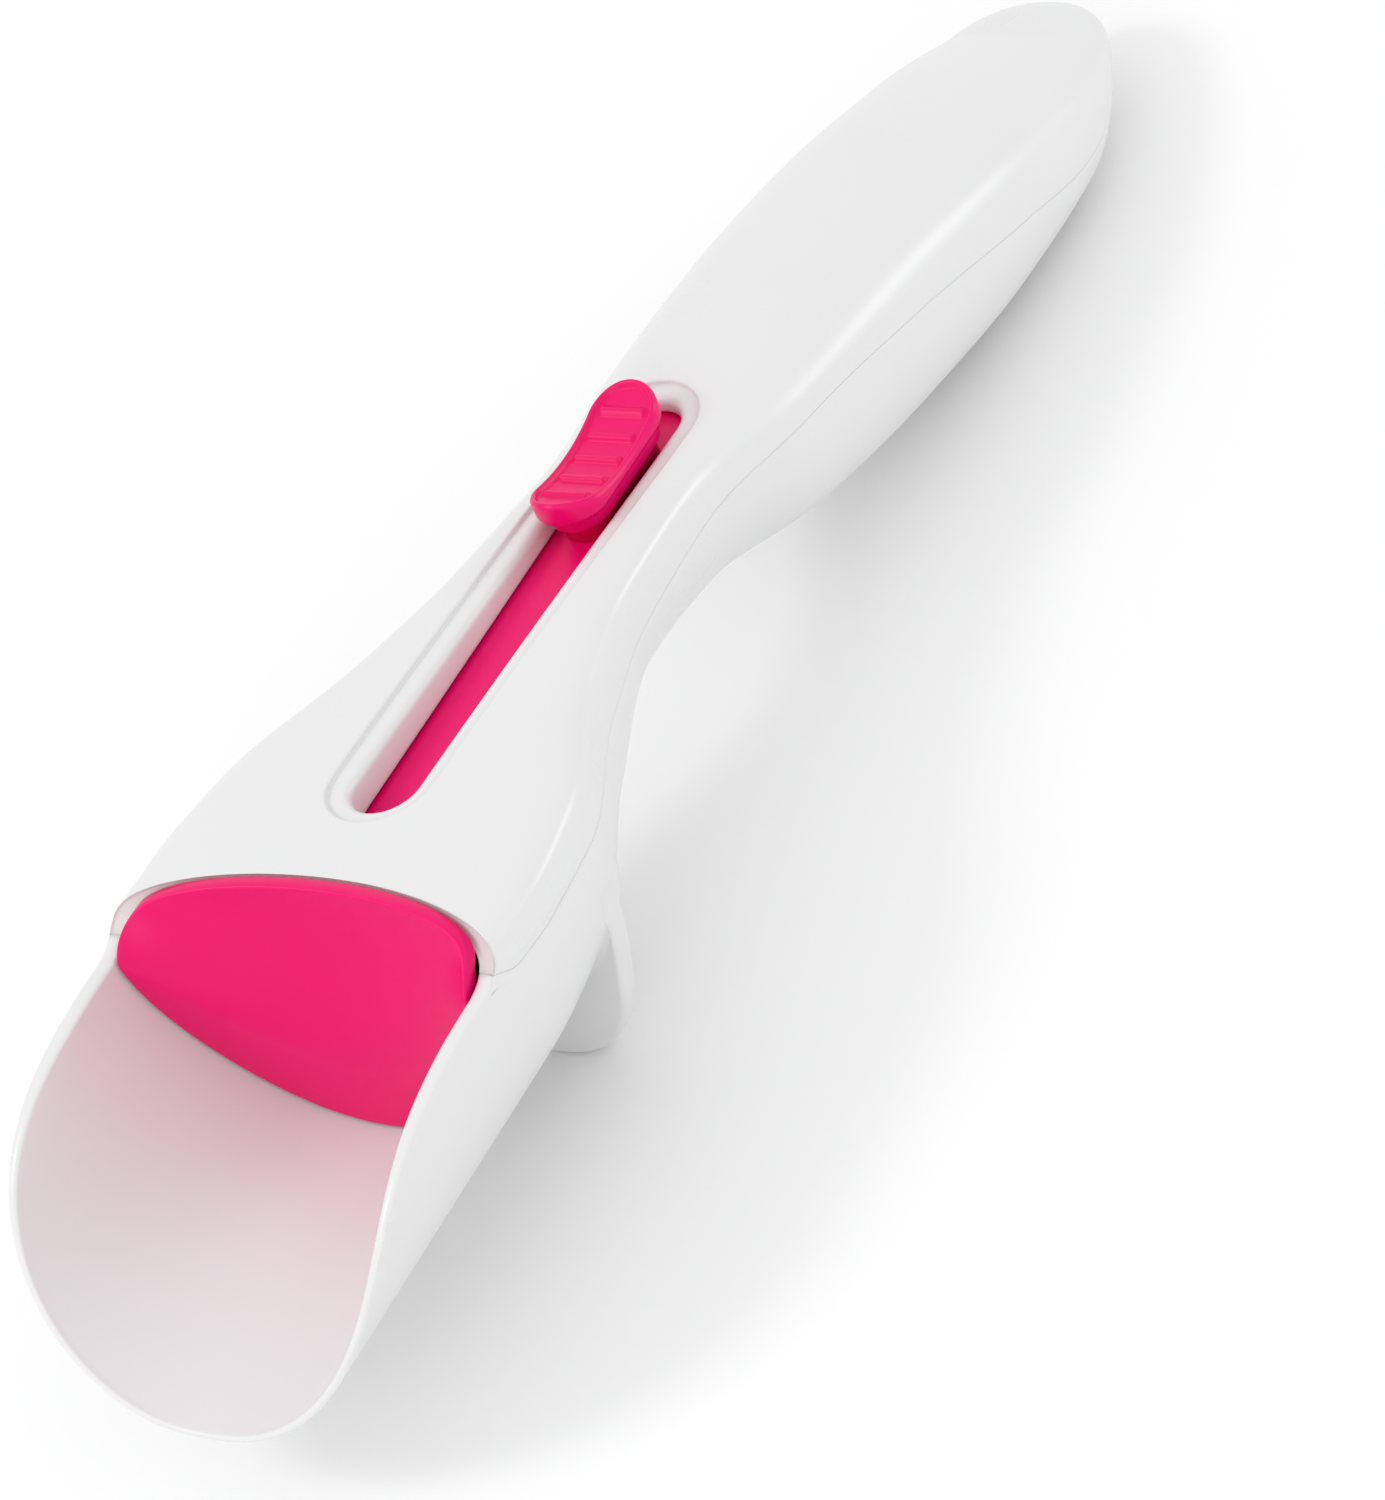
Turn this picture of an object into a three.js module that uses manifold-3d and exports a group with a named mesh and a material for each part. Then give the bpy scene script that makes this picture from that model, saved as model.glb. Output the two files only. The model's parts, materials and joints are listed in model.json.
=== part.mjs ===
// Batter scoop with a thumb-slide pusher.
// Millimetres, +Z up. The shapes are drawn in a drawing frame whose X axis runs along the scoop
// from its tip (x = 0) to the end of the handle, with z = 0 at the underside of the trough.
// At the end the whole group is tipped onto its rest foot and the belly of its handle, and moved
// so that the origin is the bottom centre of its box.
import * as THREE from "three";
import { mergeVertices } from "three/addons/utils/BufferGeometryUtils.js";
import Module from "manifold-3d";

const wasm = await Module();
wasm.setup();

// Driving dimensions
const LENGTH = 240;
const WALL = 2.2;
const LIP_WALL = 0.9;
const LIP_LENGTH = 38;
const SEAM_GAP = 0.3;
const CAP_LENGTH = 16;
const CAP_HEIGHT = 13;
const CAP_POWER = 2.2;

// Cross-sections: x, half width, underside, height of the widest point, top
const SECTIONS = [
  [0, 27.3, 0, 29.5, 36.8],
  [55, 27.3, 0, 29.5, 36.5],
  [70, 25.5, 1.4, 29.6, 36.2],
  [90, 17.3, 8, 29.8, 35.6],
  [108, 13, 15.5, 29.2, 34.9],
  [126, 12, 13.5, 26.8, 34.2],
  [146, 15.6, 7.5, 22, 33.6],
  [170, 17.4, 2.7, 18, 31.6],
  [195, 18.2, 0.1, 14.4, 27.1],
  [215, 17.2, 0.3, 11.6, 21.9],
  [230, 13.4, 3.6, 12.6, 16.6],
];
// Roundness of the section, from the scoop to the handle: 2 is an ellipse, more is squarer
const LOWER_POWER = [2.05, 2.2];
const UPPER_POWER = [4.2, 2.4];
const SCOOP_END = 85;
const HANDLE_START = 150;

// Height of the parting line between the two shells
const PARTING = [
  [0, 32],
  [44, 32],
  [50, 29.2],
  [66, 28.2],
  [85, 27.3],
  [120, 27],
  [146, 25.3],
  [170, 21.2],
  [195, 14.8],
  [215, 9.8],
  [228, 9.6],
  [240, 13],
];

// Mouth of the scoop: the rim rises from the tip and turns up into the front edge of the deck
const RIM_TIP = 1.3;
const RIM_HEIGHT = 30.8;
const RIM_LENGTH = 57;
const RIM_POWER = 4.8;
const RIM_END = 45;
const DECK_FRONT = 53;
const DECK_EDGE_TOP = 38;
const DECK_ARC = 3.9;
const DECK_ARC_WIDTH = 24;

// Slot in the deck, with a shallow recess round it and a collar below it down to the slide bar
const SLOT_FRONT = 65.2;
const SLOT_REAR = 139;
const SLOT_HALF = 4.4;
const RECESS_HALF = 7.1;
const RECESS_DEPTH = 0.7;
const COLLAR_HALF = 6.15;
const COLLAR_BOTTOM = 30.9;

// Slide bar and the two rails that carry it under the deck
const BAR_TOP = 30.6;
const BAR_THICK = 3;
const BAR_HALF = 6;
const BAR_FRONT = 54;
const BAR_REAR = 141;
const RUN_GAP = 0.4;
const RAIL_FRONT = 76;
const RAIL_REAR = 143;
const RAIL_WALL = 1.4;
const RAIL_LIP = 1.1;

// Pusher plate: fills the trough with a running gap. Its face is upright at the foot, wraps forward
// along the sides, and leans back above the turn until it follows the front edge of the deck
const PUSHER_FOOT = 46.2;
const PUSHER_TOP = 51.1;
const PUSHER_THICK = 3;
const PUSHER_GAP = 0.4;
const PUSHER_MIDDLE = 18;
const WRAP = 4.1;
const WRAP_HEIGHT = 29;
const WRAP_WIDTH = 25;
const TURN_LOW = 12;
const TURN_SIDE_RISE = 18;
const TURN_HIGH = 37;
const BAND_INSET = 0.3;
const BAND_GAP = 0.35;
const SOCKET_FRONT = 51.2;
const SOCKET_REAR = 61.5;
const SOCKET_HALF = 8;
const SOCKET_WALL = 2;
const RIB_FOOT = 6;

// Thumb button
const BUTTON_FRONT = 113;
const BUTTON_REAR = 136.2;
const BUTTON_HALF = 4.85;
const BUTTON_BOTTOM = 35.8;
const NECK_INSET = 1.5;
const NECK_HALF = 4.1;
const NECK_BOTTOM = 33.2;
const POST_INSET = 2.7;
const POST_HALF = 3.6;
const BUTTON_SADDLE = 36.6;
const SADDLE_RADIUS = 27;
const RIDGES = 5;
const RIDGE_PITCH = 3.7;
const RIDGE_RADIUS = 0.55;
const RIDGE_END = 1.6;
const BUTTON_TOP = 39.2;
const SHANK_HALF_WIDTH = 3;
const SHANK_HALF_LENGTH = 7.5;
const BARB = 1.1;
const BARB_THICK = 1.3;
const SHANK_SPLIT = 5;

// Rest foot: a plate across the underside behind the scoop
const FOOT_X = 70;
const FOOT_THICK = 3.6;
const FOOT_DEPTH = 9.2;
const FOOT_ROOT_Z = 20.5;
const FOOT_ROOT_HALF = 23.3;
const FOOT_SHOULDER_Z = 14.3;
const FOOT_SHOULDER_HALF = 22.6;
const FOOT_KNEE_Z = 2.8;
const FOOT_KNEE_HALF = 19;
const FOOT_CORNER_HALF = 15.5;
const FOOT_SOLE_HALF = 5.5;

// Far enough out to clear the whole body when a cutter runs past it
const CLEAR = 60;

const WHITE = new THREE.MeshStandardMaterial({ color: 0xe9e9ea, roughness: 0.3, metalness: 0 });
const PINK = new THREE.MeshStandardMaterial({ color: 0xf21262, roughness: 0.35, metalness: 0 });

// A smooth curve through the rows of a table that never overshoots them
function curve(rows, column) {
  const xs = rows.map((row) => row[0]);
  const ys = rows.map((row) => row[column]);
  const slopes = xs.slice(1).map((x, i) => (ys[i + 1] - ys[i]) / (x - xs[i]));
  const tangents = ys.map((y, i) => {
    const before = slopes[Math.max(i - 1, 0)];
    const after = slopes[Math.min(i, slopes.length - 1)];
    return before * after <= 0 ? 0 : (2 * before * after) / (before + after);
  });
  return (x) => {
    const last = xs.length - 2;
    const i = Math.min(Math.max(xs.findIndex((value) => value > x) - 1, 0), last);
    const row = x >= xs[last + 1] ? last : i;
    const width = xs[row + 1] - xs[row];
    const t = Math.min(Math.max((x - xs[row]) / width, 0), 1);
    const start = (1 + 2 * t) * (1 - t) ** 2 * ys[row] + t * (1 - t) ** 2 * width * tangents[row];
    const end = t * t * (3 - 2 * t) * ys[row + 1] - t * t * (1 - t) * width * tangents[row + 1];
    return start + end;
  };
}

const halfWidthAt = curve(SECTIONS, 1);
const undersideAt = curve(SECTIONS, 2);
const widestAt = curve(SECTIONS, 3);
const topAt = curve(SECTIONS, 4);
const partingAt = curve(PARTING, 1);

// The outline of the section at x, drawn inset from the outer surface, by its own depth at the top
function sectionOutline(x, inset, segments, topInset = inset) {
  const end = LENGTH - inset;
  const capStart = LENGTH - CAP_LENGTH;
  const t = THREE.MathUtils.clamp((x - capStart) / (end - capStart), 0, 1);
  const shrink = Math.sqrt(Math.max(1 - t ** CAP_POWER, 0));
  const toHandle = THREE.MathUtils.smoothstep(x, SCOOP_END, HANDLE_START);
  const lowerPower = THREE.MathUtils.lerp(...LOWER_POWER, toHandle);
  const upperPower = THREE.MathUtils.lerp(...UPPER_POWER, toHandle);
  const half = (halfWidthAt(x) - inset) * shrink;
  const widest = CAP_HEIGHT + (widestAt(x) - CAP_HEIGHT) * shrink;
  const top = CAP_HEIGHT + (topAt(x) - topInset - CAP_HEIGHT) * shrink;
  const bottom = CAP_HEIGHT + (undersideAt(x) + inset - CAP_HEIGHT) * shrink;
  const points = [];
  for (let i = 0; i < segments; i += 1) {
    const angle = (2 * Math.PI * i) / segments;
    const power = angle < Math.PI ? upperPower : lowerPower;
    const reach = angle < Math.PI ? top - widest : widest - bottom;
    const across = Math.sign(Math.cos(angle)) * Math.abs(Math.cos(angle)) ** (2 / power);
    const up = Math.sign(Math.sin(angle)) * Math.abs(Math.sin(angle)) ** (2 / power);
    points.push(new THREE.Vector3(x, half * across, widest + reach * up));
  }
  return points;
}

// A closed skin over a row of rings, each end closed by a fan to its middle
function skin(rings) {
  const count = rings[0].length;
  const positions = rings.flat().flatMap((point) => point.toArray());
  const indices = [];
  for (let ring = 0; ring < rings.length - 1; ring += 1) {
    for (let i = 0; i < count; i += 1) {
      const next = (i + 1) % count;
      const a = ring * count + i;
      const b = ring * count + next;
      indices.push(a, b, a + count, b, b + count, a + count);
    }
  }
  [0, rings.length - 1].forEach((ring, side) => {
    const middle = new THREE.Vector3();
    rings[ring].forEach((point) => middle.addScaledVector(point, 1 / count));
    const centre = positions.length / 3;
    positions.push(...middle.toArray());
    for (let i = 0; i < count; i += 1) {
      const a = ring * count + i;
      const b = ring * count + ((i + 1) % count);
      indices.push(centre, side === 0 ? b : a, side === 0 ? a : b);
    }
  });
  const geometry = new THREE.BufferGeometry();
  geometry.setAttribute("position", new THREE.Float32BufferAttribute(positions, 3));
  geometry.setIndex(indices);
  return geometry;
}

function solid(geometry) {
  const bare = geometry.clone();
  bare.deleteAttribute("normal");
  bare.deleteAttribute("uv");
  const merged = mergeVertices(bare, 1e-4);
  const vertProperties = new Float32Array(merged.attributes.position.array);
  const triVerts = new Uint32Array(merged.index.array);
  return new wasm.Manifold(new wasm.Mesh({ numProp: 3, vertProperties, triVerts }));
}

function piece(name, body, material) {
  const mesh = body.getMesh();
  const geometry = new THREE.BufferGeometry();
  geometry.setAttribute("position", new THREE.Float32BufferAttribute(mesh.vertProperties, 3));
  geometry.setIndex(new THREE.Uint32BufferAttribute(mesh.triVerts, 1));
  geometry.computeVertexNormals();
  const result = new THREE.Mesh(geometry, material);
  result.name = name;
  return result;
}

// A block between two corners
function block(x0, x1, y0, y1, z0, z1) {
  const geometry = new THREE.BoxGeometry(x1 - x0, y1 - y0, z1 - z0);
  geometry.translate((x0 + x1) / 2, (y0 + y1) / 2, (z0 + z1) / 2);
  return solid(geometry);
}

// Thickness of the wall at x, which tapers towards the lip of the scoop
function wallAt(x) {
  return THREE.MathUtils.lerp(LIP_WALL, WALL, THREE.MathUtils.smoothstep(x, 0, LIP_LENGTH));
}

// The body's envelope from x = front to the end of the handle, inset by a depth that may vary
function envelope(insetAt, segments, front) {
  const inset = insetAt(LENGTH);
  const stations = [];
  for (let x = front; x < LIP_LENGTH; x += 5) stations.push(x);
  for (let x = LIP_LENGTH + 2; x < LENGTH - CAP_LENGTH; x += 7) stations.push(x);
  const capSteps = 6;
  const capReach = CAP_LENGTH - inset;
  for (let i = 0; i < capSteps; i += 1) {
    const turn = (i / capSteps) * (Math.PI / 2);
    stations.push(LENGTH - CAP_LENGTH + capReach * Math.sin(turn));
  }
  stations.push(LENGTH - inset - 0.05);
  return solid(skin(stations.map((x) => sectionOutline(x, insetAt(x), segments))));
}

// A prism whose outline is drawn in X and Z, as wide as asked, cut in slices across Y
function sideProfile(outline, halfWidth, slices) {
  const settings = { depth: 2 * halfWidth, steps: slices, bevelEnabled: false, curveSegments: 8 };
  const geometry = new THREE.ExtrudeGeometry(outline, settings);
  geometry.rotateX(Math.PI / 2);
  geometry.translate(0, halfWidth, 0);
  return geometry;
}

// Everything above the parting line, or below it
function halfSpace(above) {
  const outline = new THREE.Shape();
  const far = above ? CLEAR : -CLEAR;
  const shift = above ? SEAM_GAP / 2 : -SEAM_GAP / 2;
  const margin = 10;
  outline.moveTo(-margin, far);
  for (let x = -margin; x <= LENGTH + margin; x += 2.5) outline.lineTo(x, partingAt(x) + shift);
  outline.lineTo(LENGTH + margin, far);
  return solid(sideProfile(outline, CLEAR, 1));
}

// The space that is open above the scoop, moved up and forward by a gap
function mouth(gap) {
  const outline = new THREE.Shape();
  const front = -8;
  outline.moveTo(front, RIM_TIP);
  const steps = 14;
  for (let i = 0; i <= steps; i += 1) {
    const x = RIM_END * (i / steps) ** 1.6;
    const rise = 1 - Math.max(1 - x / RIM_LENGTH, 0) ** RIM_POWER;
    outline.lineTo(x, RIM_TIP + (RIM_HEIGHT - RIM_TIP) * rise);
  }
  outline.quadraticCurveTo(DECK_FRONT, RIM_HEIGHT, DECK_FRONT, DECK_EDGE_TOP);
  outline.lineTo(DECK_FRONT, CLEAR);
  outline.lineTo(front, CLEAR);
  const geometry = sideProfile(outline, 1.5 * DECK_ARC_WIDTH, 24);
  const position = geometry.attributes.position;
  for (let i = 0; i < position.count; i += 1) {
    const bend = THREE.MathUtils.smoothstep(position.getX(i), RIM_END - 15, DECK_FRONT);
    const arc = DECK_ARC * (position.getY(i) / DECK_ARC_WIDTH) ** 2;
    position.setX(i, position.getX(i) - bend * arc);
  }
  geometry.translate(-gap, 0, gap);
  return solid(geometry);
}

// A prism with round ends standing on the deck, from x0 to x1
function stadium(x0, x1, half, z0, z1, curveSegments = 10) {
  const outline = new THREE.Shape();
  outline.absarc(x1 - half, 0, half, -Math.PI / 2, Math.PI / 2);
  outline.absarc(x0 + half, 0, half, Math.PI / 2, (3 * Math.PI) / 2);
  const settings = { depth: z1 - z0, bevelEnabled: false, curveSegments };
  const geometry = new THREE.ExtrudeGeometry(outline, settings);
  geometry.translate(0, 0, z0);
  return solid(geometry);
}

function restFoot() {
  const outline = new THREE.Shape();
  outline.moveTo(-FOOT_ROOT_HALF, FOOT_ROOT_Z);
  outline.quadraticCurveTo(-FOOT_SHOULDER_HALF, FOOT_SHOULDER_Z, -FOOT_KNEE_HALF, FOOT_KNEE_Z);
  outline.quadraticCurveTo(-FOOT_CORNER_HALF, -FOOT_DEPTH, -FOOT_SOLE_HALF, -FOOT_DEPTH);
  outline.lineTo(FOOT_SOLE_HALF, -FOOT_DEPTH);
  outline.quadraticCurveTo(FOOT_CORNER_HALF, -FOOT_DEPTH, FOOT_KNEE_HALF, FOOT_KNEE_Z);
  outline.quadraticCurveTo(FOOT_SHOULDER_HALF, FOOT_SHOULDER_Z, FOOT_ROOT_HALF, FOOT_ROOT_Z);
  const settings = { depth: FOOT_THICK, bevelEnabled: false, curveSegments: 8 };
  const geometry = new THREE.ExtrudeGeometry(outline, settings);
  geometry.rotateX(Math.PI / 2);
  geometry.rotateZ(Math.PI / 2);
  geometry.translate(FOOT_X, 0, 0);
  return solid(geometry);
}

// Angle of the flat surface that touches the foot and the belly of the handle
function restAngle() {
  let angle = Math.PI / 4;
  for (let x = LENGTH / 2; x < LENGTH - CAP_LENGTH; x += 1) {
    angle = Math.min(angle, Math.atan2(undersideAt(x) + FOOT_DEPTH, x - FOOT_X));
  }
  return angle;
}

// The surface that the scoop rests on, as a thick slab under it
function counter(angle) {
  const geometry = new THREE.BoxGeometry(3 * LENGTH, 2 * CLEAR, CLEAR);
  geometry.translate(0, 0, -CLEAR / 2);
  geometry.rotateY(-angle);
  geometry.translate(FOOT_X, 0, -FOOT_DEPTH);
  return solid(geometry);
}

// Two rails under the deck, each with a lip below the edge of the slide bar
function rails() {
  const inner = BAR_HALF + RUN_GAP;
  const outerHalf = inner + RAIL_WALL;
  const bottom = BAR_TOP - BAR_THICK - RUN_GAP;
  const channel = block(RAIL_FRONT, RAIL_REAR, -outerHalf, outerHalf, bottom - RAIL_LIP, CLEAR);
  const bed = block(RAIL_FRONT - 1, RAIL_REAR + 1, -inner, inner, bottom, CLEAR);
  const mid = inner - RAIL_LIP;
  const gap = block(RAIL_FRONT - 1, RAIL_REAR + 1, -mid, mid, bottom - 2 * RAIL_LIP, CLEAR);
  return channel.subtract(bed).subtract(gap);
}

function upperShell(outer, cavity, opening) {
  const aroundSlot = (half, bottom) => {
    const margin = half - SLOT_HALF;
    return stadium(SLOT_FRONT - margin, SLOT_REAR + margin, half, bottom, CLEAR);
  };
  const collar = aroundSlot(COLLAR_HALF, COLLAR_BOTTOM);
  const slot = aroundSlot(SLOT_HALF, BAR_TOP - 2 * BAR_THICK);
  const belowRecess = envelope(() => RECESS_DEPTH, 48, 0);
  const recess = aroundSlot(RECESS_HALF, BAR_TOP - 2 * BAR_THICK).subtract(belowRecess);
  const inside = outer.intersect(collar.add(rails()));
  const shell = outer.subtract(cavity).intersect(halfSpace(true)).add(inside);
  return shell.subtract(recess).subtract(slot).subtract(opening);
}

function lowerShell(outer, cavity, opening, angle) {
  const withFoot = outer.add(restFoot());
  const shell = withFoot.subtract(cavity).intersect(halfSpace(false));
  return shell.subtract(opening).subtract(counter(angle));
}

// How far along the scoop the pusher's face is, at a point of its outline
function pusherFaceAt(y, z) {
  const { lerp, smoothstep } = THREE.MathUtils;
  const side = (y / WRAP_WIDTH) ** 2;
  const upright = PUSHER_FOOT - (side * WRAP * z) / WRAP_HEIGHT;
  const leaning = PUSHER_TOP - DECK_ARC * (y / DECK_ARC_WIDTH) ** 2;
  return lerp(upright, leaning, smoothstep(z, TURN_LOW + side * TURN_SIDE_RISE, TURN_HIGH));
}

// A plate with the pusher's face, clear of the trough's walls
function facePlate(topInset) {
  const outline = sectionOutline(RIM_END, WALL + PUSHER_GAP, 48, topInset);
  const ring = (scale, depth) => outline.map((point) => {
    const y = point.y * scale;
    const z = PUSHER_MIDDLE + (point.z - PUSHER_MIDDLE) * scale;
    return new THREE.Vector3(pusherFaceAt(y, z) + depth, y, z);
  });
  const scales = [0.2, 0.4, 0.6, 0.8, 0.9, 1];
  const front = scales.map((scale) => ring(scale, 0));
  const back = scales.map((scale) => ring(scale, PUSHER_THICK)).reverse();
  return solid(skin([...front, ...back]));
}

// The plate in the trough, with a band along its top that stands in front of the deck's edge
function pusherPlate() {
  const band = facePlate(BAND_INSET).intersect(mouth(BAND_GAP));
  const plate = facePlate(WALL + PUSHER_GAP).add(band);
  const low = BAR_TOP - BAR_THICK;
  const socket = block(SOCKET_FRONT, SOCKET_REAR, -SOCKET_HALF, SOCKET_HALF,
    low - SOCKET_WALL - SEAM_GAP, BAR_TOP + SOCKET_WALL);
  const half = BAR_HALF + SEAM_GAP;
  const pocket = block(BAR_FRONT - SEAM_GAP, SOCKET_REAR + 1, -half, half,
    low - SEAM_GAP, BAR_TOP + SEAM_GAP);
  return plate.add(pusherRib()).add(socket).subtract(pocket);
}

// A rib down the back of the plate, below its socket
function pusherRib() {
  const top = BAR_TOP - BAR_THICK - 1;
  const outline = new THREE.Shape();
  outline.moveTo(PUSHER_FOOT + 2, RIB_FOOT);
  outline.lineTo(SOCKET_FRONT - 1, top);
  outline.lineTo(SOCKET_FRONT + 5, top);
  outline.lineTo(SOCKET_FRONT + 1, RIB_FOOT);
  return solid(sideProfile(outline, 1, 1));
}

function slideBar() {
  const low = BAR_TOP - BAR_THICK;
  const bar = stadium(BAR_FRONT - BAR_HALF, BAR_REAR, BAR_HALF, low, BAR_TOP, 6);
  const squareFront = block(0, BAR_FRONT, -2 * BAR_HALF, 2 * BAR_HALF, low - 1, BAR_TOP + 1);
  const middle = (BUTTON_FRONT + BUTTON_REAR) / 2;
  const reach = SHANK_HALF_LENGTH + SEAM_GAP;
  const side = SHANK_HALF_WIDTH + SEAM_GAP;
  const window = block(middle - reach, middle + reach, -side, side, low - 1, BAR_TOP + 1);
  return bar.subtract(squareFront).subtract(window);
}

// A split shank below the button, with a barb at each end that hooks under the slide bar
function shank(middle) {
  const low = BAR_TOP - BAR_THICK;
  const bottom = low - SEAM_GAP - BARB_THICK;
  const half = SHANK_HALF_WIDTH;
  const reach = SHANK_HALF_LENGTH;
  const post = block(middle - reach, middle + reach, -half, half, bottom, NECK_BOTTOM + 1);
  const hooks = block(middle - reach - BARB, middle + reach + BARB, -half, half,
    bottom, low - SEAM_GAP);
  const split = block(middle - SHANK_SPLIT, middle + SHANK_SPLIT, -2 * half, 2 * half,
    bottom - 1, BAR_TOP);
  return post.add(hooks).subtract(split);
}

// The cap is a stadium with a hollow across its top and ridges in the hollow. It stands on a neck
// that fits the slot and on a post that is narrower again
function thumbButton() {
  const middle = (BUTTON_FRONT + BUTTON_REAR) / 2;
  const neck = stadium(BUTTON_FRONT + NECK_INSET, BUTTON_REAR - NECK_INSET, NECK_HALF,
    NECK_BOTTOM, BUTTON_SADDLE);
  const post = stadium(BUTTON_FRONT + POST_INSET, BUTTON_REAR - POST_INSET, POST_HALF,
    BAR_TOP + SEAM_GAP, BUTTON_SADDLE);
  const cap = stadium(BUTTON_FRONT, BUTTON_REAR, BUTTON_HALF, BUTTON_BOTTOM, BUTTON_TOP, 12);
  const axisHeight = BUTTON_SADDLE + SADDLE_RADIUS;
  const saddle = new THREE.CylinderGeometry(SADDLE_RADIUS, SADDLE_RADIUS, CLEAR, 72);
  saddle.translate(middle, 0, axisHeight);
  let button = cap.add(neck).add(post).subtract(solid(saddle));
  for (let i = 0; i < RIDGES; i += 1) {
    const along = (i - (RIDGES - 1) / 2) * RIDGE_PITCH;
    const height = axisHeight - Math.sqrt(SADDLE_RADIUS ** 2 - along ** 2);
    const length = 2 * (BUTTON_HALF - RIDGE_END);
    const ridge = new THREE.CylinderGeometry(RIDGE_RADIUS, RIDGE_RADIUS, length, 8);
    ridge.translate(middle + along, 0, height - RIDGE_RADIUS / 5);
    button = button.add(solid(ridge));
  }
  return button.add(shank(middle));
}

const angle = restAngle();
const outer = envelope(() => 0, 48, 0);
const cavity = envelope(wallAt, 48, -5);
const opening = mouth(0);

const scoop = new THREE.Group();
scoop.add(
  piece("upper_shell", upperShell(outer, cavity, opening), WHITE),
  piece("lower_shell", lowerShell(outer, cavity, opening, angle), WHITE),
  piece("pusher_plate", pusherPlate(), PINK),
  piece("slide_bar", slideBar(), PINK),
  piece("thumb_button", thumbButton(), PINK),
);
scoop.rotation.y = angle;

const assembly = new THREE.Group();
assembly.add(scoop);
assembly.updateMatrixWorld(true);
const box = new THREE.Box3().setFromObject(assembly, true);
scoop.position.set(-(box.min.x + box.max.x) / 2, -(box.min.y + box.max.y) / 2, -box.min.z);

export default assembly;
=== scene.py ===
"""Looks of a batter scoop: a white plastic body with a pink pusher, slide bar and thumb button.

The surfaces are worked out in the CAD part's drawing frame, in millimetres: x runs from the tip
of the scoop to the end of the handle, and z is 0 at the underside of the trough. to_row() turns
them into metres in the row frame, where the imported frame's own boxes say how it lies.
"""

import json
import math

import bmesh
import bpy
import numpy as np
from mathutils import Matrix, Vector


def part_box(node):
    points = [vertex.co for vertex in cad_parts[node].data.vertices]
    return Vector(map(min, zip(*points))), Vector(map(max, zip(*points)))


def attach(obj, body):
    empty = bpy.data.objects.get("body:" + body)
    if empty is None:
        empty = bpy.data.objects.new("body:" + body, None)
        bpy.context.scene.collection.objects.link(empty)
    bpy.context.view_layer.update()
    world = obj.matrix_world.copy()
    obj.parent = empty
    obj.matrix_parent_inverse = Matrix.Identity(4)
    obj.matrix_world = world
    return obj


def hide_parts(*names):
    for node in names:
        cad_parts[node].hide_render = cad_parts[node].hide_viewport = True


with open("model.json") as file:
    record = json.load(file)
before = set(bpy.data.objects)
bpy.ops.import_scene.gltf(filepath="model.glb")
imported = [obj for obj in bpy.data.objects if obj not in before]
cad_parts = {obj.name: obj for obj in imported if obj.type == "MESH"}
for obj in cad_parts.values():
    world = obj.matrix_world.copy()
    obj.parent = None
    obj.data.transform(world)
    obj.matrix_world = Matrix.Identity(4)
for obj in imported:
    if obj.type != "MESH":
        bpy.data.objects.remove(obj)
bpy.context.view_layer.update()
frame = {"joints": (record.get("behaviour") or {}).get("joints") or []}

# Body sections: x, half width, underside, height of the widest point, top
SECTIONS = np.array([
    [0, 27.3, 0, 29.5, 36.8],
    [55, 27.3, 0, 29.5, 36.5],
    [70, 25.5, 1.4, 29.6, 36.2],
    [90, 17.3, 8, 29.8, 35.6],
    [108, 13, 15.5, 29.2, 34.9],
    [126, 12, 13.5, 26.8, 34.2],
    [146, 15.6, 7.5, 22, 33.6],
    [170, 17.4, 2.7, 18, 31.6],
    [195, 18.2, 0.1, 14.4, 27.1],
    [215, 17.2, 0.3, 11.6, 21.9],
    [230, 13.4, 3.6, 12.6, 16.6],
])
PARTING = np.array([
    [0, 32], [44, 32], [50, 29.2], [66, 28.2], [85, 27.3], [120, 27],
    [146, 25.3], [170, 21.2], [195, 14.8], [215, 9.8], [228, 9.6], [240, 13],
])
LENGTH = 240
WALL = 2.2
LIP_WALL = 0.9
LIP_LENGTH = 38
CAP_LENGTH = 16
CAP_HEIGHT = 13
CAP_POWER = 2.2
LOWER_POWER = (2.05, 2.2)
UPPER_POWER = (4.2, 2.4)
SCOOP_END = 85
HANDLE_START = 150

# Mouth
RIM_TIP = 1.3
RIM_HEIGHT = 30.8
RIM_LENGTH = 57
RIM_POWER = 4.8
RIM_END = 45
DECK_FRONT = 53
DECK_EDGE_TOP = 38
DECK_ARC = 3.9
DECK_ARC_WIDTH = 24
ARC_FADE = 15
RIM_ROUND = 0.5
DECK_ROUND = 0.35
LIP_SQUARENESS = 0.9

# Slot, the shallow recess round it, and the collar below it
SLOT_FRONT = 65.2
SLOT_REAR = 139
SLOT_HALF = 4.4
SLOT_ROUND = 1.3
RECESS_HALF = 7.1
RECESS_DEPTH = 0.7
RECESS_ROUND = 0.35
RECESS_FILLET = 0.12
COLLAR_HALF = 6.15
COLLAR_BOTTOM = 30.9
COLLAR_EDGE = 0.3
COLLAR_TURN = 0.08

# Seam between the shells. Below the deck it lies in a groove, with a bead above it
SEAM_HALF = 0.012
SEAM_ROUND = 0.07
BEAD_RISE = 1.5
BEAD_HEIGHT = 0.22
BEAD_WIDTH = 0.55
BEAD_SPAN = (46, 52, 60, 70)
GROOVE_DEPTH = 0.15
GROOVE_WIDTH = 0.55
GROOVE_SPAN = (55, 61, 62, 72)
SIDE_START = 0.7

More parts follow.
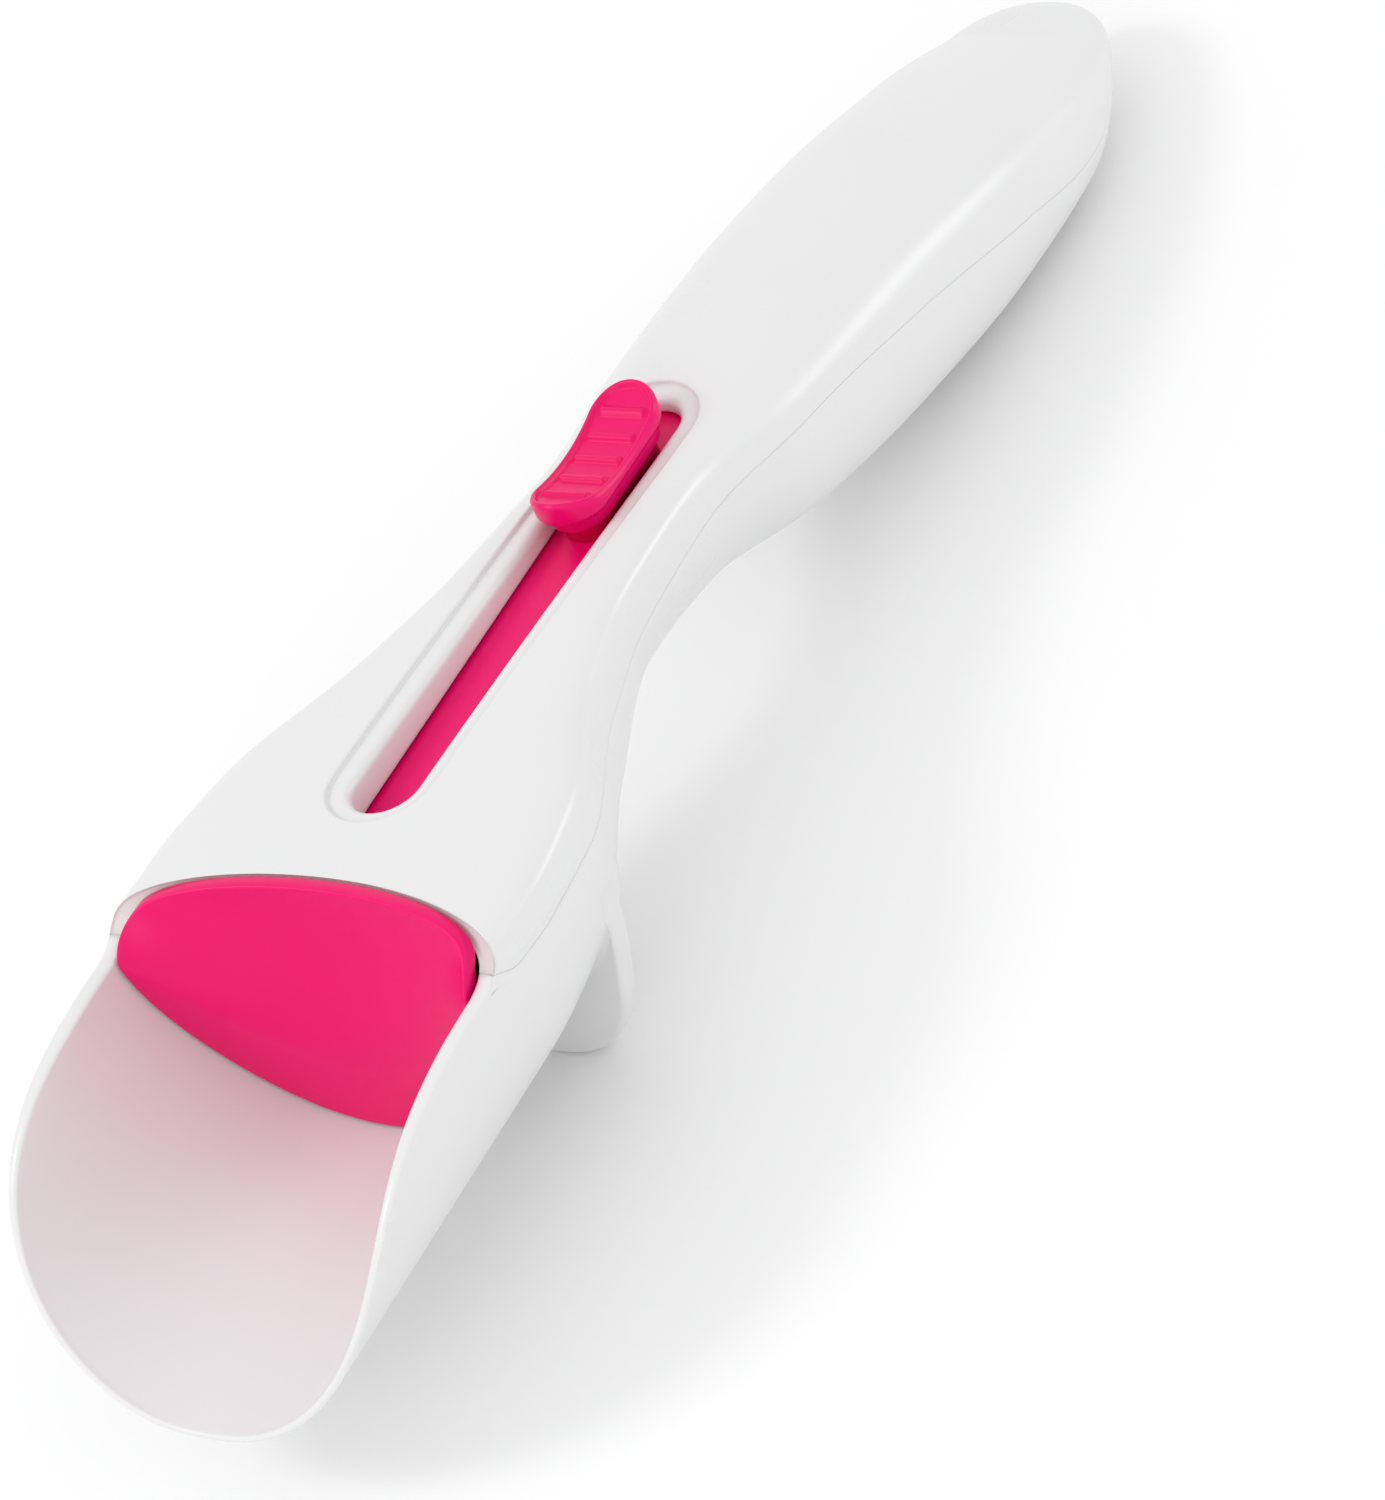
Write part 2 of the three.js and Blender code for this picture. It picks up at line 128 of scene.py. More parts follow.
# Slide bar and rails
BAR_TOP = 30.6
BAR_THICK = 3
BAR_HALF = 6
BAR_FRONT = 54
BAR_REAR = 141
RAIL_FRONT = 76
RAIL_REAR = 143
RAIL_WALL = 1.4
RAIL_LIP = 1.1
RAIL_TOP = 32.6
RUN_GAP = 0.4
FIT_GAP = 0.3

# Pusher
PUSHER_FOOT = 46.2
PUSHER_TOP = 51.1
PUSHER_THICK = 3
PUSHER_GAP = 0.4
PUSHER_MIDDLE = 18
PUSHER_ROUND = 0.3
PUSHER_THIN = 0.5
PUSHER_RINGS = 44
BACK_CHAMFER = 0.05
WRAP = 4.1
WRAP_HEIGHT = 29
WRAP_WIDTH = 25
TURN_LOW = 12
TURN_SIDE_RISE = 18
TURN_HIGH = 37
BAND_INSET = 0.02
BAND_GAP = 0.06
BAND_FADE = (0.02, 0.3)
SOCKET_FRONT = 51.2
SOCKET_REAR = 61.5
SOCKET_HALF = 8
SOCKET_WALL = 2
RIB_FOOT = 6
RIB_HALF = 1
RIB_BEVEL = 0.25

# Thumb button
BUTTON_FRONT = 113
BUTTON_REAR = 136.2
BUTTON_HALF = 4.85
BUTTON_BOTTOM = 35.8
NECK_HALF = 4.1
NECK_INSET = 1.5
NECK_TOP = 34.6
NECK_BOTTOM = 33.2
POST_HALF = 3.6
POST_INSET = 2.7
POST_FLOOR = 3
BUTTON_SADDLE = 36.6
SADDLE_RADIUS = 27
RIDGES = 5
RIDGE_PITCH = 3.7
SHANK_HALF_WIDTH = 3
SHANK_HALF_LENGTH = 7.5
SHANK_SPLIT = 5
BARB = 1.1
BARB_THICK = 1.3
LEG_SHRINK = 0.02

# Rest foot
FOOT_X = 70
FOOT_THICK = 3.6
FOOT_DEPTH = 9.2
FOOT_ROOT = (23.3, 20.5)
FOOT_SHOULDER = (22.6, 14.3)
FOOT_KNEE = (19, 2.8)
FOOT_CORNER_HALF = 15.5
FOOT_SOLE_HALF = 5.5
FOOT_FILLET = 1.6
FOOT_EDGE = 0.9

# Camera, aimed at a point of the drawing frame
CAMERA_AZIMUTH = -45.844
CAMERA_ELEVATION = 37.006
CAMERA_ROLL = 25.651
CAMERA_TARGET = (103.077, -14.176, 9.945)
CAMERA_DISTANCE = 800
CAMERA_LENS = 161.79
CAMERA_SENSOR = 36


# ---------------------------------------------------------------- the row frame

slide_axis = next(j for j in frame["joints"] if j["name"] == "pusher_slide")["axis"]
REST_COS = -slide_axis[0]
REST_SIN = slide_axis[2]
bar_low, bar_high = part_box("slide_bar")
SHIFT_X = bar_low.x * 1000 - BAR_FRONT * REST_COS - (BAR_TOP - BAR_THICK) * REST_SIN
SHIFT_Z = bar_high.z * 1000 + BAR_FRONT * REST_SIN - BAR_TOP * REST_COS


def to_row(points):
    """Drawing frame in millimetres to the row frame in metres."""
    x, y, z = np.moveaxis(np.asarray(points, float), -1, 0)
    row_x = x * REST_COS + z * REST_SIN + SHIFT_X
    row_z = z * REST_COS - x * REST_SIN + SHIFT_Z
    return np.stack([row_x, y, row_z], -1) / 1000


def turned(direction):
    """A direction of the drawing frame in the row frame."""
    x, y, z = direction
    return Vector((x * REST_COS + z * REST_SIN, y, z * REST_COS - x * REST_SIN))


# ---------------------------------------------------------------- camera

def add_camera():
    azimuth, elevation, roll = (
        math.radians(a) for a in (CAMERA_AZIMUTH, CAMERA_ELEVATION, CAMERA_ROLL)
    )
    back = Vector((
        math.sin(azimuth) * math.cos(elevation),
        -math.cos(azimuth) * math.cos(elevation),
        math.sin(elevation),
    ))
    level_up = (Vector((0, 0, 1)) - back * back.z).normalized()
    level_right = level_up.cross(back)
    up = level_up * math.cos(roll) + level_right * math.sin(roll)
    right = up.cross(back)
    data = bpy.data.cameras.new("camera")
    data.lens = CAMERA_LENS
    data.sensor_width = CAMERA_SENSOR
    data.clip_start = 0.01
    data.clip_end = 20
    camera = bpy.data.objects.new("camera", data)
    bpy.context.scene.collection.objects.link(camera)
    rotation = Matrix((turned(right), turned(up), turned(back))).transposed().to_4x4()
    place = Vector(to_row(CAMERA_TARGET)) + turned(back) * CAMERA_DISTANCE / 1000
    camera.matrix_world = Matrix.Translation(place) @ rotation
    bpy.context.scene.camera = camera


add_camera()


# ---------------------------------------------------------------- the body's surface

def smoothstep(x, low, high):
    t = np.clip((x - low) / (high - low), 0, 1)
    return t * t * (3 - 2 * t)


def curve(table, column):
    """A smooth curve through the rows of a table that never overshoots them."""
    xs, ys = table[:, 0].astype(float), table[:, column].astype(float)
    slope = np.diff(ys) / np.diff(xs)
    before = np.concatenate([slope[:1], slope])
    after = np.concatenate([slope, slope[-1:]])
    flat = before * after <= 0
    tangent = np.where(flat, 0, 2 * before * after / np.where(flat, 1, before + after))

    def value(x):
        x = np.asarray(x, float)
        i = np.clip(np.searchsorted(xs, x, side="right") - 1, 0, len(xs) - 2)
        width = xs[i + 1] - xs[i]
        t = np.clip((x - xs[i]) / width, 0, 1)
        start = (1 + 2 * t) * (1 - t) ** 2 * ys[i] + t * (1 - t) ** 2 * width * tangent[i]
        end = t * t * (3 - 2 * t) * ys[i + 1] - t * t * (1 - t) * width * tangent[i + 1]
        return start + end

    return value


half_width_at, underside_at, widest_at, top_at = (curve(SECTIONS, c) for c in (1, 2, 3, 4))
parting_at = curve(PARTING, 1)


def section(x, inset=0.0):
    """Half width, top, bottom, widest height, lower power and upper power of the section at x.

    An inset narrows towards the lip of the scoop, as the wall does.
    """
    end = LENGTH - inset
    inset = inset * (LIP_WALL + (WALL - LIP_WALL) * smoothstep(x, 0, LIP_LENGTH)) / WALL
    cap_start = LENGTH - CAP_LENGTH
    t = np.clip((x - cap_start) / (end - cap_start), 0, 1)
    shrink = np.sqrt(np.maximum(1 - t ** CAP_POWER, 1e-6))
    handle = smoothstep(x, SCOOP_END, HANDLE_START)
    lower = LOWER_POWER[0] + (LOWER_POWER[1] - LOWER_POWER[0]) * handle
    upper = UPPER_POWER[0] + (UPPER_POWER[1] - UPPER_POWER[0]) * handle
    half = (half_width_at(x) - inset) * shrink
    top = CAP_HEIGHT + (top_at(x) - inset - CAP_HEIGHT) * shrink
    bottom = CAP_HEIGHT + (underside_at(x) + inset - CAP_HEIGHT) * shrink
    widest = CAP_HEIGHT + (widest_at(x) - CAP_HEIGHT) * shrink
    return half, top, bottom, widest, lower, upper


def half_at(x, z, inset=0.0):
    """Half width of the section at x, at height z."""
    half, top, bottom, widest, lower, upper = section(x, inset)
    above = z >= widest
    reach = np.where(above, top - widest, widest - bottom)
    power = np.where(above, upper, lower)
    share = np.clip(np.abs(z - widest) / reach, 0, 1)
    return half * (1 - share ** power) ** (1 / power)


def deck_z(x, y, inset=0.0):
    """Height of the section's upper side at x and y."""
    half, top, _, widest, _, upper = section(x, inset)
    return widest + (top - widest) * np.maximum(1 - np.abs(y / half) ** upper, 0) ** (1 / upper)


def half_outline(x, low_angle, high_angle, inset, samples, top_inset=None):
    """Points of the section on the +Y side between two angles, as (y, z)."""
    half, top, bottom, widest, lower, upper = section(x, inset)
    if top_inset is not None:
        top += inset - top_inset
    angle = np.linspace(low_angle, high_angle, samples)
    above = angle >= 0
    power = np.where(above, upper, lower)
    reach = np.where(above, top - widest, widest - bottom)
    across = half * np.cos(angle).clip(0) ** (2 / power)
    up = reach * np.sign(angle) * np.abs(np.sin(angle)) ** (2 / power)
    return across, widest + up


def angle_at(x, z, inset):
    """The angle in half_outline() where the section at x reaches height z."""
    _, top, bottom, widest, lower, upper = section(x, inset)
    if z >= widest:
        return math.asin(min((z - widest) / (top - widest), 1) ** (upper / 2))
    return -math.asin(min((widest - z) / (widest - bottom), 1) ** (lower / 2))


def rim_profile(offset):
    """The mouth's edge from the side, moved into the body by offset: x and z from low to high."""
    x = RIM_END * np.linspace(0, 1, 400) ** 1.6
    z = RIM_TIP + (RIM_HEIGHT - RIM_TIP) * (1 - (1 - x / RIM_LENGTH) ** RIM_POWER)
    t = np.linspace(0, 1, 120)[1:]
    turn_x = DECK_FRONT - (DECK_FRONT - x[-1]) * (1 - t) ** 2
    turn_z = z[-1] + (DECK_EDGE_TOP - z[-1]) * t * t
    x = np.concatenate([[0, 0], x, turn_x, [DECK_FRONT]])
    z = np.concatenate([[-20, RIM_TIP - 0.5], z, turn_z, [DECK_EDGE_TOP + 20]])
    dx, dz = np.gradient(x), np.gradient(z)
    size = np.hypot(dx, dz)
    x, z = x + offset * dz / size, z - offset * dx / size
    keep = np.maximum.accumulate(z) <= z + 1e-9
    return x[keep], z[keep]


def mouth_x(y, z, offset):
    """Where the mouth's edge crosses a line along the scoop at y and z."""
    profile_x, profile_z = rim_profile(offset)
    x = np.interp(z, profile_z, profile_x)
    bend = smoothstep(x, RIM_END - ARC_FADE, DECK_FRONT)
    return x - bend * DECK_ARC * (y / DECK_ARC_WIDTH) ** 2


def stations():
    """x of the sections that a table of lines is worked out at."""
    along = np.arange(0, LENGTH - CAP_LENGTH, 0.25)
    turn = np.linspace(0, math.pi / 2, 60)
    return np.concatenate([along, LENGTH - CAP_LENGTH + CAP_LENGTH * np.sin(turn)])


def lengthwise_lines(line_at, inset, count):
    """A table of lines along the body: at every station, the (y, z) of each of count lines."""
    xs = stations()
    squeeze = (LENGTH - inset - (LENGTH - CAP_LENGTH)) / CAP_LENGTH
    cap = LENGTH - CAP_LENGTH
    xs = np.where(xs > cap, cap + (xs - cap) * squeeze, xs)
    table = np.array([line_at(x, inset) for x in xs])
    assert table.shape == (len(xs), count, 2)
    return xs, table


def on_lines(lines, x):
    """Points on the lines of a table at x, an array with one column for each line."""
    xs, table = lines
    y = np.stack([np.interp(x[:, j], xs, table[:, j, 0]) for j in range(x.shape[1])], 1)
    z = np.stack([np.interp(x[:, j], xs, table[:, j, 1]) for j in range(x.shape[1])], 1)
    return np.stack([x, y, z], -1)


def front_of(lines, offset):
    """Where each line of a table meets the mouth's edge."""
    xs, table = lines
    found = []
    for j in range(table.shape[1]):
        near = xs < DECK_FRONT + 8
        gap = xs[near] - mouth_x(table[near, j, 0], table[near, j, 1], offset)
        last = np.nonzero(gap < 0)[0]
        if len(last) == 0:
            found.append(xs[0])
            continue
        i = last[-1]
        found.append(np.interp(0, gap[i:i + 2], xs[near][i:i + 2]))
    return np.array(found)


def cap_rows(inset, start, steps):
    """x of the rows from the start of the rounded handle end to its tip."""
    turn = np.linspace(0, math.pi / 2, steps + 1)[1:]
    return start + (LENGTH - inset - start) * np.sin(turn)


# ---------------------------------------------------------------- meshes

# Points closer together than this, in metres, are one point
SAME_POINT = 4e-6


class Patchwork:
    """Grids of points and the quads between them, joined into one mesh."""

    def __init__(self):
        self.points = []
        self.faces = []
        self.count = 0

    def add(self, points):
        points = np.asarray(points, float)
        shape = points.shape[:-1]
        index = self.count + np.arange(int(np.prod(shape))).reshape(shape)
        self.points.append(points.reshape(-1, 3))
        self.count += index.size
        return index

    def fill(self, index, closed=False):
        index = np.asarray(index)
        if closed:
            index = np.concatenate([index, index[:, :1]], 1)
        quads = np.stack([index[:-1, :-1], index[:-1, 1:], index[1:, 1:], index[1:, :-1]], -1)
        self.faces.append(quads.reshape(-1, 4))

    def build(self, name, material):
        mesh = bpy.data.meshes.new(name)
        points = to_row(np.concatenate(self.points))
        mesh.from_pydata(points.tolist(), [], np.concatenate(self.faces).tolist())
        work = bmesh.new()
        work.from_mesh(mesh)
        loose = [v for v in work.verts if not v.link_faces]
        bmesh.ops.delete(work, geom=loose, context="VERTS")
        bmesh.ops.remove_doubles(work, verts=work.verts, dist=SAME_POINT)
        bmesh.ops.dissolve_degenerate(work, edges=work.edges, dist=SAME_POINT / 4)
        open_edges = [e for e in work.edges if e.is_boundary]
        bmesh.ops.holes_fill(work, edges=open_edges, sides=0)
        bmesh.ops.recalc_face_normals(work, faces=work.faces)
        work.to_mesh(mesh)
        work.free()
        mesh.shade_smooth()
        mesh.materials.append(material)
        piece = bpy.data.objects.new(name, mesh)
        bpy.context.scene.collection.objects.link(piece)
        return piece


def rounded_edge(outer, inner, bulge, squareness, steps=8):
    """Rows of points that close the gap between two edges with a rounded lip."""
    along = np.gradient(outer, axis=0) + np.gradient(inner, axis=0)
    across = outer - inner
    out = np.cross(along, across)
    out /= np.linalg.norm(out, axis=1, keepdims=True) + 1e-12
    middle = (outer + inner) / 2
    rows = []
    for k in range(1, steps):
        angle = math.pi * k / steps
        side = math.copysign(abs(math.cos(angle)) ** squareness, math.cos(angle))
        lift = math.sin(angle) ** squareness
        rows.append(middle + across / 2 * side + out * bulge * lift)
    return rows


# ---------------------------------------------------------------- materials

# Noise scales for objects measured in metres, and the relief that each one makes
FLOW_SCALE = 34
WAVE_SCALE = 85
PEEL_SCALE = 620
WAVE_STRENGTH = 0.35
WAVE_RELIEF = 0.00005
PEEL_RELIEF = 0.00003
TINT_RANGE = (0.975, 1.02)
GLOSS_RANGE = (-0.04, 0.05)


def principled(name, colour, roughness, bump, specular):
    """A moulded plastic: faint flow marks in its colour and gloss, and a fine orange-peel skin."""
    material = bpy.data.materials.new(name)
    material.use_nodes = True
    nodes, links = material.node_tree.nodes, material.node_tree.links
    shader = nodes["Principled BSDF"]
    shader.inputs["Specular IOR Level"].default_value = specular
    place = nodes.new("ShaderNodeTexCoord")
    flow = nodes.new("ShaderNodeTexNoise")
    flow.inputs["Scale"].default_value = FLOW_SCALE
    flow.inputs["Detail"].default_value = 3
    tint = nodes.new("ShaderNodeMapRange")
    tint.inputs["To Min"].default_value = TINT_RANGE[0]
    tint.inputs["To Max"].default_value = TINT_RANGE[1]
    mix = nodes.new("ShaderNodeVectorMath")
    mix.operation = "SCALE"
    mix.inputs[0].default_value = colour
    gloss = nodes.new("ShaderNodeMapRange")
    gloss.inputs["To Min"].default_value = roughness + GLOSS_RANGE[0]
    gloss.inputs["To Max"].default_value = roughness + GLOSS_RANGE[1]
    peel = nodes.new("ShaderNodeTexNoise")
    peel.inputs["Scale"].default_value = PEEL_SCALE
    peel.inputs["Detail"].default_value = 2
    waves = nodes.new("ShaderNodeTexNoise")
    waves.inputs["Scale"].default_value = WAVE_SCALE
    waves.inputs["Detail"].default_value = 1
    fine = nodes.new("ShaderNodeBump")
    fine.inputs["Strength"].default_value = bump
    fine.inputs["Distance"].default_value = PEEL_RELIEF
    broad = nodes.new("ShaderNodeBump")
    broad.inputs["Strength"].default_value = WAVE_STRENGTH
    broad.inputs["Distance"].default_value = WAVE_RELIEF
    for texture in (flow, peel, waves):
        links.new(place.outputs["Object"], texture.inputs["Vector"])
    links.new(flow.outputs["Fac"], tint.inputs["Value"])
    links.new(tint.outputs["Result"], mix.inputs["Scale"])
    links.new(mix.outputs["Vector"], shader.inputs["Base Color"])
    links.new(flow.outputs["Fac"], gloss.inputs["Value"])
    links.new(gloss.outputs["Result"], shader.inputs["Roughness"])
    links.new(waves.outputs["Fac"], broad.inputs["Height"])
    links.new(peel.outputs["Fac"], fine.inputs["Height"])
    links.new(broad.outputs["Normal"], fine.inputs["Normal"])
    links.new(fine.outputs["Normal"], shader.inputs["Normal"])
    return material


white = principled("white_plastic", (0.765, 0.765, 0.772), roughness=0.28, bump=0.25, specular=0.5)
pink = principled("pink_plastic", (0.83, 0.002, 0.145), roughness=0.3, bump=0.3, specular=0.2)


# ---------------------------------------------------------------- upper shell

EDGE_COLUMNS = 16
SIDE_COLUMNS = 24
MIDDLE_COLUMNS = 14
EDGE_SHARE = 0.2
MIDDLE_SHARE = 0.7


def upper_lines(x, inset):
    """Lines of the upper shell from the seam on the -Y side over the top to the +Y seam."""
    slot_half = COLLAR_HALF if inset else RECESS_HALF + RECESS_ROUND
    half = float(section(x, inset)[0])
    slot_half = min(slot_half, MIDDLE_SHARE * half)
    seam = float(parting_at(x)) + SEAM_HALF + SEAM_ROUND
    y, z = half_outline(x, angle_at(x, seam, inset), math.pi / 2, inset, 500)
    run = np.concatenate([[0], np.cumsum(np.hypot(np.diff(y), np.diff(z)))])
    peak = int(np.argmax(y))
    end = np.interp(-slot_half, -y[peak:], run[peak:])
    share = np.concatenate([
        np.linspace(0, EDGE_SHARE, EDGE_COLUMNS + 1)[:-1],
        np.linspace(EDGE_SHARE, 1, SIDE_COLUMNS + 1),
    ])
    side_y = np.interp(share * end, run, y)
    side_z = np.interp(share * end, run, z)
    middle = slot_half * np.sin(np.linspace(-math.pi / 2, math.pi / 2, MIDDLE_COLUMNS + 1))[1:-1]
    ys = np.concatenate([-side_y, middle, side_y[::-1]])
    zs = np.concatenate([side_z, deck_z(x, middle, inset), side_z[::-1]])
    return np.stack([ys, zs], -1)


def shown(x, span):
    """Rises from 0 to 1 over the first two numbers of the span, and falls over the last two."""
    return smoothstep(x, span[0], span[1]) * (1 - smoothstep(x, span[2], span[3]))


def groove_at(x, z):
    """Depth of the groove that the seam lies in, at x and z."""
    show = shown(x, GROOVE_SPAN)
    return GROOVE_DEPTH * show * np.exp(-(((z - parting_at(x)) / GROOVE_WIDTH) ** 2))


def side_bead(points):
    """Raises the bead and sinks the groove along the sides below the deck."""
    x, y, z = np.moveaxis(points, -1, 0)
    show = shown(x, BEAD_SPAN)
    rise = BEAD_HEIGHT * show * np.exp(-(((z - parting_at(x) - BEAD_RISE) / BEAD_WIDTH) ** 2))
    on_side = np.abs(y) > SECTIONS[2, 1] * SIDE_START
    shift = np.where(on_side, rise - groove_at(x, z), 0)
    return np.stack([x, y + np.sign(y) * shift, z], -1)


FRONT_ROWS = 30
SLOT_ROWS = 56
BEHIND_SLOT = 146
BEHIND_ROWS = 12
HANDLE_ROWS = 62
CAP_ROWS = 16


def upper_grid(inset):
    """Points of the upper shell's outer or inner surface."""
    count = 2 * (EDGE_COLUMNS + SIDE_COLUMNS + 1) + MIDDLE_COLUMNS - 1
    lines = lengthwise_lines(upper_lines, inset, count)
    front = front_of(lines, DECK_ROUND)
    reach = COLLAR_HALF if inset else RECESS_HALF + RECESS_ROUND
    first = EDGE_COLUMNS + SIDE_COLUMNS
    across = np.zeros(count)
    across[first:first + MIDDLE_COLUMNS + 1] = reach * np.cos(
        np.linspace(-math.pi / 2, math.pi / 2, MIDDLE_COLUMNS + 1)
    )
    slot_start = SLOT_FRONT + SLOT_HALF - across
    slot_end = SLOT_REAR - SLOT_HALF + across
    ease = np.linspace(0, 1, FRONT_ROWS + 1)[:, None]
    rows = [front + (slot_start - front) * (0.35 * ease ** 2 + 0.65 * ease)]
    rows.append(slot_start + (slot_end - slot_start) * np.linspace(0, 1, SLOT_ROWS + 1)[1:, None])
    rows.append(slot_end + (BEHIND_SLOT - slot_end) * np.linspace(0, 1, BEHIND_ROWS + 1)[1:, None])
    handle = np.linspace(BEHIND_SLOT, LENGTH - CAP_LENGTH, HANDLE_ROWS + 1)[1:]
    cap = cap_rows(inset, LENGTH - CAP_LENGTH, CAP_ROWS)
    rows.append(np.repeat(np.concatenate([handle, cap])[:, None], count, 1))
    return on_lines(lines, np.concatenate(rows))


def slot_loop(index):
    """The indices round the slot in a grid of the upper shell."""
    first = EDGE_COLUMNS + SIDE_COLUMNS
    last = first + MIDDLE_COLUMNS
    start, end = FRONT_ROWS, FRONT_ROWS + SLOT_ROWS
    return np.concatenate([
        index[start, first:last + 1],
        index[start + 1:end, last],
        index[end, last:first - 1:-1],
        index[end - 1:start:-1, first],
    ])


def fill_round_slot(patches, index):
    """Fills a grid of the upper shell, all but the slot."""
    first = EDGE_COLUMNS + SIDE_COLUMNS
    last = first + MIDDLE_COLUMNS
    start, end = FRONT_ROWS, FRONT_ROWS + SLOT_ROWS
    patches.fill(index[:start + 1])
    patches.fill(index[start:end + 1, :first + 1])
    patches.fill(index[start:end + 1, last:])
    patches.fill(index[end:])


def slot_wall(ring):
    """Rows of points from the deck over the recess, down the slot and up the collar's outside."""
    centre_x = np.clip(ring[:, 0], SLOT_FRONT + SLOT_HALF, SLOT_REAR - SLOT_HALF)
    away = np.stack([ring[:, 0] - centre_x, ring[:, 1]], -1)
    away /= np.linalg.norm(away, axis=1, keepdims=True)

    def at(half, height, on_deck=True):
        x, y = centre_x + away[:, 0] * half, away[:, 1] * half
        return np.stack([x, y, (deck_z(x, y) if on_deck else 0 * x) + height], -1)

    floor = -RECESS_DEPTH
    fillet = RECESS_FILLET
    rows = []
    for angle in np.linspace(0, math.pi / 2, 6)[1:]:
        lean = RECESS_ROUND * (1 - math.sin(angle))
        rows.append(at(RECESS_HALF + lean, -RECESS_ROUND * (1 - math.cos(angle))))
    rows.append(at(RECESS_HALF, floor + fillet))
    rows.append(at(RECESS_HALF - 0.3 * fillet, floor + 0.3 * fillet))
    rows.append(at(RECESS_HALF - fillet, floor))
    inner_edge = SLOT_HALF + SLOT_ROUND
    for share in (0.1, 0.5, 0.9):
        rows.append(at(RECESS_HALF - fillet + (inner_edge - RECESS_HALF + fillet) * share, floor))
    for angle in np.linspace(0, math.pi / 2, 8):
        lean = SLOT_ROUND * (1 - math.sin(angle))
        rows.append(at(SLOT_HALF + lean, floor - SLOT_ROUND * (1 - math.cos(angle))))
    low, edge, turn = COLLAR_BOTTOM, COLLAR_EDGE, COLLAR_TURN
    rows += [at(SLOT_HALF, low + 0.7, False), at(SLOT_HALF, low + edge, False)]
    rows += [at(SLOT_HALF + turn, low + turn, False), at(SLOT_HALF + edge, low, False)]
    rows += [at(COLLAR_HALF - edge, low, False), at(COLLAR_HALF - turn, low + turn, False)]
    rows += [at(COLLAR_HALF, low + edge, False)]
    return rows


def close_shell(patches, outer_points, inner_points, outer, inner, seam_shift, lip_round):
    """Closes the mouth's rim with a rounded lip and the two seams with narrow strips."""
    lip = rounded_edge(outer_points[0], inner_points[0], lip_round, LIP_SQUARENESS)
    lip_index = patches.add(np.array(lip))
    patches.fill(np.concatenate([outer[:1], lip_index, inner[:1]]))
    for column in (0, -1):
        edge = outer_points[:, column]
        side = np.sign(edge[3, 1])
        inner_edge = inner_points[:, column]
        seam_z = parting_at(edge[:, 0]) + seam_shift
        inner_z = parting_at(inner_edge[:, 0]) + seam_shift
        outer_y = half_at(edge[:, 0], seam_z, SEAM_ROUND) - groove_at(edge[:, 0], seam_z)
        inner_y = half_at(inner_edge[:, 0], inner_z, WALL - SEAM_ROUND)
        near_tip = np.arange(len(edge)) >= len(edge) - 1
        outer_y = np.where(near_tip, 0, outer_y)
        inner_y = np.where(near_tip, 0, inner_y)
        strip = np.array([
            np.stack([edge[:, 0], side * outer_y, seam_z], -1),
            np.stack([inner_edge[:, 0], side * inner_y, inner_z], -1),
        ])
        strip_index = patches.add(strip)
        patches.fill(np.stack([outer[:, column], strip_index[0], strip_index[1], inner[:, column]]))


BOX_BEVEL = 0.25
LIP_BEVEL = 0.2


def add_box(patches, low, high, bevel=BOX_BEVEL):
    """A box with narrow bevels."""
    low, high = np.array(low, float), np.array(high, float)
    rings = []
    for inset, z in (
        (bevel, low[2]), (0, low[2] + bevel), (0, high[2] - bevel), (bevel, high[2]),
    ):
        x0, x1, y0, y1 = low[0] + inset, high[0] - inset, low[1] + inset, high[1] - inset
        b = bevel
        ring = [
            (x0 + b, y0), (x1 - b, y0), (x1, y0 + b), (x1, y1 - b),
            (x1 - b, y1), (x0 + b, y1), (x0, y1 - b), (x0, y0 + b),
        ]
        rings.append([(x, y, z) for x, y in ring])
    index = patches.add(np.array(rings))
    patches.fill(index, closed=True)


def build_upper_shell():
    patches = Patchwork()
    outer_points = side_bead(upper_grid(0))
    inner_points = upper_grid(WALL)
    outer, inner = patches.add(outer_points), patches.add(inner_points)
    fill_round_slot(patches, outer)
    fill_round_slot(patches, inner)
    ring = slot_loop(outer)
    wall = slot_wall(outer_points.reshape(-1, 3)[ring])
    wall_index = patches.add(np.array(wall))
    loops = np.concatenate([ring[None], wall_index, slot_loop(inner)[None]])
    patches.fill(loops, closed=True)
    close_shell(patches, outer_points, inner_points, outer, inner, SEAM_HALF, DECK_ROUND)
    rail_bottom = BAR_TOP - BAR_THICK - RUN_GAP
    inner_half = BAR_HALF + RUN_GAP
    for side in (-1, 1):
        wall_y = sorted((side * inner_half, side * (inner_half + RAIL_WALL)))
        lip_y = sorted((side * (inner_half - RAIL_LIP), side * (inner_half + RAIL_WALL)))
        add_box(patches, (RAIL_FRONT, wall_y[0], rail_bottom - LIP_BEVEL),
                (RAIL_REAR, wall_y[1], RAIL_TOP))
        add_box(patches, (RAIL_FRONT, lip_y[0], rail_bottom - RAIL_LIP),
                (RAIL_REAR, lip_y[1], rail_bottom), LIP_BEVEL)
    return patches.build("upper_shell_skin", white)


# ---------------------------------------------------------------- lower shell

